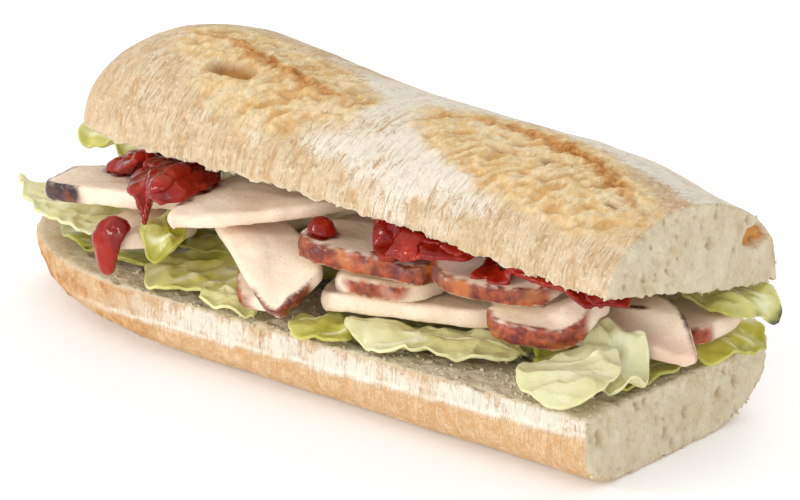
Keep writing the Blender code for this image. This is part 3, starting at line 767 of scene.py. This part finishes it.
def make_leaf(node, look):
    hardly_seen = "bed" in node or "back" in node
    piece = fine_copy(node, node + "_fresh", 2 if hardly_seen else 3, 50)
    points = places(piece)
    seed = sum(map(ord, node)) % 60
    bearing = bearings(node, points)
    depth = how_far(edge_points(node, 50), points)
    plan = points * (1, 1, 0)
    near_rim = ease(7, 0, depth)
    angle = math.radians(20 + 37 * seed % 50)
    along = plan @ np.array([math.cos(angle), math.sin(angle), 0])
    beside = plan @ np.array([-math.sin(angle), math.cos(angle), 0])
    ribs = 1 - np.abs(noise(np.column_stack([along, beside, 0 * along]), (40, 6.5, 5), seed))
    veins = ease(0.84, 0.98, ribs) * ease(0, 4, depth)
    ruffle = RUFFLE.get(node, 0.5) * near_rim * noise(plan, 4.6, seed + 1)
    creased = 1 - 2 * np.abs(noise(plan + 3 * noise(plan, 12, seed + 7)[:, None], 7.5, seed + 6))
    wrinkle = 0.7 * rough(plan, 5.5, 2, seed + 2) + 0.8 * creased + 0.3 * veins
    points[:, 2] += ruffle + wrinkle
    outward = np.column_stack([np.cos(np.radians(bearing)), np.sin(np.radians(bearing))])
    points[:, :2] += outward * (near_rim * (1.1 * noise(plan, 3.4, seed + 3) + 0.3))[:, None]
    put(piece, points)
    pale = np.clip(PALE.get(node, 0.0) + 0.3 * noise(plan, 16, seed + 4)
                   + 0.25 * ease(6, 12, depth), 0, 1)
    # Real deeper green near the rim and in patches, plus painted shade in the valleys of the creases
    deep_green_and_shade = np.clip(DEEP_GREEN_AND_SHADE.get(node, 0.05) + 0.25 * near_rim + 0.3 * noise(plan, 10, seed + 5)
                   + 0.3 * ease(0.1, -0.7, creased), 0, 1)
    paint(piece, "pale", pale)
    paint(piece, "deep_green_and_shade", deep_green_and_shade)
    paint(piece, "veins", veins)
    tip = np.zeros(len(points))
    if node == "leaf_right_high":
        tip = ease(121.5, 124, points[:, 0] + noise(points, 3, 63)) * ease(7, 3, depth)
    paint(piece, "tip", tip)
    stands_for(piece, node, look)


def make_sauce(node, look):
    piece = fine_copy(node, node + "_wet", 0, None, SAUCE_GRID, 9)
    points = places(piece)
    normals = facing(piece)
    seed = sum(map(ord, node)) % 40
    push = 0.55 + 0.4 * rough(points, 4.5, 2, seed)
    if node == "sauce_drop":
        push = np.full(len(points), 0.3)
    put(piece, points + normals * push[:, None])
    stands_for(piece, node, look)


# Where thin sauce has run over the slices: rounds of it in plan, each with its place and radius in mm
RUNS = {
    "sauce_middle": ((45, -22, 6.5), (49, -28, 6), (52, -34, 5), (49, -38, 3.5), (56, -38, 3),
                     (59, -19, 6), (58, -27, 5.5), (64, -29, 4.5)),
    "sauce_right": ((70, -25, 5), (77, -24, 5.5), (84, -21, 5), (91, -19, 5.5), (98, -19, 5),
                    (104, -20, 4.5), (90, -12, 6)),
    "sauce_left": ((-62, -10, 6), (-54, -13, 6), (-46, -18, 7), (-37, -26, 7), (-33, -33, 6.5),
                   (-31, -39, 4.5)),
}
# How far that sauce may hang past an edge, and a height over all of the filling, in mm
RUN_HANGS = 3
ABOVE_FILLING = 70


def pour(node, look):
    """Thin sauce that follows the slices and the thick sauce under it, and ends where they fall away."""
    rounds = np.array(RUNS[node], float)
    low = (rounds[:, :2] - rounds[:, 2:]).min(axis=0) - 2
    high = (rounds[:, :2] + rounds[:, 2:]).max(axis=0) + 2
    across, along = np.meshgrid(np.arange(low[0], high[0], RUN_GRID),
                                np.arange(low[1], high[1], RUN_GRID))
    plan = np.column_stack([across.ravel(), along.ravel(), 0 * across.ravel()])
    share = np.full(len(plan), -1.0)
    for x, y, radius in rounds:
        share = np.maximum(share, 1 - np.hypot(plan[:, 0] - x, plan[:, 1] - y) / radius)
    share = share + 0.16 * noise(plan, 3.6, 61)
    height = np.full(len(plan), -99.0)
    for piece in bpy.context.scene.objects:
        if piece.name.endswith(("_roasted", "_wet")):
            tree = BVHTree.FromObject(piece, bpy.context.evaluated_depsgraph_get())
            for index in np.nonzero(share > -0.3)[0]:
                above = Vector((plan[index, 0], plan[index, 1], ABOVE_FILLING)) * MM
                hit = tree.ray_cast(above, Vector((0, 0, -1)))[0]
                if hit:
                    height[index] = max(height[index], hit.z / MM)
    height = height.reshape(across.shape)
    bare = height < 0
    height[bare] = height[~bare].min()
    cover = height.copy()
    for _ in range(5):
        edged = np.pad(cover, 1, mode="edge")
        beside = edged[:-2, 1:-1] + edged[2:, 1:-1] + edged[1:-1, :-2] + edged[1:-1, 2:]
        cover = np.maximum(cover, beside / 4)
    share = share.reshape(across.shape)
    wet = (share > 0) & ~bare & (cover - height < RUN_HANGS)
    top = cover + 0.25 + 1.1 * np.sqrt(np.clip(share / 0.5, 0, 1))
    under = height - 0.5
    number = np.full(across.shape, -1)
    cells = wet[:-1, :-1] & wet[1:, :-1] & wet[:-1, 1:] & wet[1:, 1:]
    used = np.zeros(across.shape, bool)
    for down in (0, 1):
        for right in (0, 1):
            used[down:cells.shape[0] + down, right:cells.shape[1] + right] |= cells
    number[used] = np.arange(used.sum())
    count = int(used.sum())
    points = np.concatenate([np.column_stack([across[used], along[used], level[used]])
                             for level in (top, under)])
    rows, columns = np.nonzero(cells)
    corners = np.column_stack([number[rows, columns], number[rows, columns + 1],
                               number[rows + 1, columns + 1], number[rows + 1, columns]]).tolist()
    faces = corners + [[corner + count for corner in reversed(face)] for face in corners]
    # The edges that only one face has, in the order in which they came
    rim = {}
    for face in corners:
        for first, second in zip(face, face[1:] + face[:1]):
            if (second, first) in rim:
                del rim[(second, first)]
            else:
                rim[(first, second)] = True
    faces += [[second, first, first + count, second + count] for first, second in rim]
    mesh = bpy.data.meshes.new(node + "_run")
    mesh.from_pydata((points * MM).tolist(), [], faces)
    piece = refined(mesh, node + "_run", 0, SAUCE_GRID, 6)
    points = places(piece)
    put(piece, points + facing(piece) * (0.25 + 0.3 * rough(points, 4.0, 2, 62))[:, None])
    piece.data.materials.append(look)
    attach(piece, "root")


def make_crumbs(look):
    """Loose crumbs of bread along the cut edges and on the open crumb, all in one piece."""
    draw = np.random.default_rng(9)
    spots = []
    for name, opening in (("bread_bottom_baked", 1), ("bread_top_baked", -1)):
        bread = bpy.data.objects[name]
        points = places(bread)
        normals = facing(bread)
        crumb = np.empty(len(points))
        bread.data.attributes["crumb"].data.foreach_get("value", crumb)
        rim = (crumb > 0.3) & (crumb < 0.9) & (points[:, 0] > -45)
        open_face = (crumb > 0.9) & (normals[:, 2] * opening > 0.6) & (points[:, 1] < -22)
        for chosen, count in ((rim, 420), (open_face, 160)):
            found = draw.choice(np.nonzero(chosen)[0], count)
            size = draw.uniform(0.2, 1, count) ** 2
            spots.append(np.column_stack([points[found] + normals[found] * 0.15, size]))
    spots = np.concatenate(spots)
    bm = bmesh.new()
    bmesh.ops.create_icosphere(bm, subdivisions=1, radius=1)
    ball = np.array([vert.co for vert in bm.verts])
    faces = np.array([[vert.index for vert in face.verts] for face in bm.faces])
    bm.free()
    lumpy = 1 + 0.3 * draw.normal(size=(len(spots), len(ball), 1))
    points = spots[:, None, :3] + ball * lumpy * (0.22 + 0.42 * spots[:, 3])[:, None, None]
    every = (faces[None] + len(ball) * np.arange(len(spots))[:, None, None]).reshape(-1, 3)
    mesh = bpy.data.meshes.new("loose_crumbs")
    mesh.from_pydata((points.reshape(-1, 3) * MM).tolist(), [], every.tolist())
    mesh.polygons.foreach_set("use_smooth", np.ones(len(mesh.polygons), bool))
    piece = bpy.data.objects.new("loose_crumbs", mesh)
    bpy.context.scene.collection.objects.link(piece)
    paint(piece, "crumb", np.ones(len(mesh.vertices)))
    mesh.materials.append(look)
    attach(piece, "root")


# Stage

def make_stage():
    bpy.ops.mesh.primitive_plane_add(size=8)
    floor = bpy.context.object
    floor.name = "floor"
    look = Look("pale_floor")
    look.set(Base_Color=(0.98, 0.98, 0.98, 1), Roughness=0.9,
             Emission_Color=(1, 1, 1, 1), Emission_Strength=0.12)
    floor.data.materials.append(look.material)

    world = bpy.data.worlds.new("soft_room")
    bpy.context.scene.world = world
    world.use_nodes = True
    world.node_tree.nodes["Background"].inputs["Color"].default_value = (1, 1, 1, 1)
    world.node_tree.nodes["Background"].inputs["Strength"].default_value = ROOM_BRIGHTNESS
    for name, (spot, size, power) in LAMPS.items():
        light = bpy.data.lights.new(name, "AREA")
        light.size = size
        light.energy = power
        lamp = bpy.data.objects.new(name, light)
        bpy.context.scene.collection.objects.link(lamp)
        lamp.location = spot
        lamp.rotation_euler = (Vector(LAMPS_AIM) - Vector(spot)).to_track_quat("-Z", "Y").to_euler()

    azimuth = math.radians(CAMERA_AZIMUTH)
    elevation = math.radians(CAMERA_ELEVATION)
    back = Vector((math.sin(azimuth) * math.cos(elevation),
                   -math.cos(azimuth) * math.cos(elevation),
                   math.sin(elevation)))
    right = Vector((math.cos(azimuth), math.sin(azimuth), 0))
    up = back.cross(right)
    camera = bpy.data.objects.new("camera", bpy.data.cameras.new("camera"))
    bpy.context.scene.collection.objects.link(camera)
    camera.data.lens = CAMERA_LENS
    camera.data.sensor_width = 36
    camera.data.clip_end = 50
    spot = (Vector(CAMERA_TARGET) + back * CAMERA_DISTANCE) * MM
    camera.matrix_world = Matrix.Translation(spot) @ Matrix((right, up, back)).transposed().to_4x4()
    bpy.context.scene.camera = camera
    bpy.context.scene.view_settings.view_transform = "Standard"


make_stage()
bread = bread_look()
chicken = chicken_look()
lettuce = lettuce_look()
sauce = sauce_look()
make_lid(bread)
make_base(bread)
sauce_trees = [edge_points(node, -1) for node in sorted(frame["nodes"]) if node.startswith("sauce")]
for node in sorted(frame["nodes"]):
    if node.startswith("chicken"):
        make_chicken(node, chicken, sauce_trees)
    if node.startswith("leaf"):
        make_leaf(node, lettuce)
    if node.startswith("sauce"):
        make_sauce(node, sauce)

for node in RUNS:
    pour(node, sauce)
make_crumbs(bread)
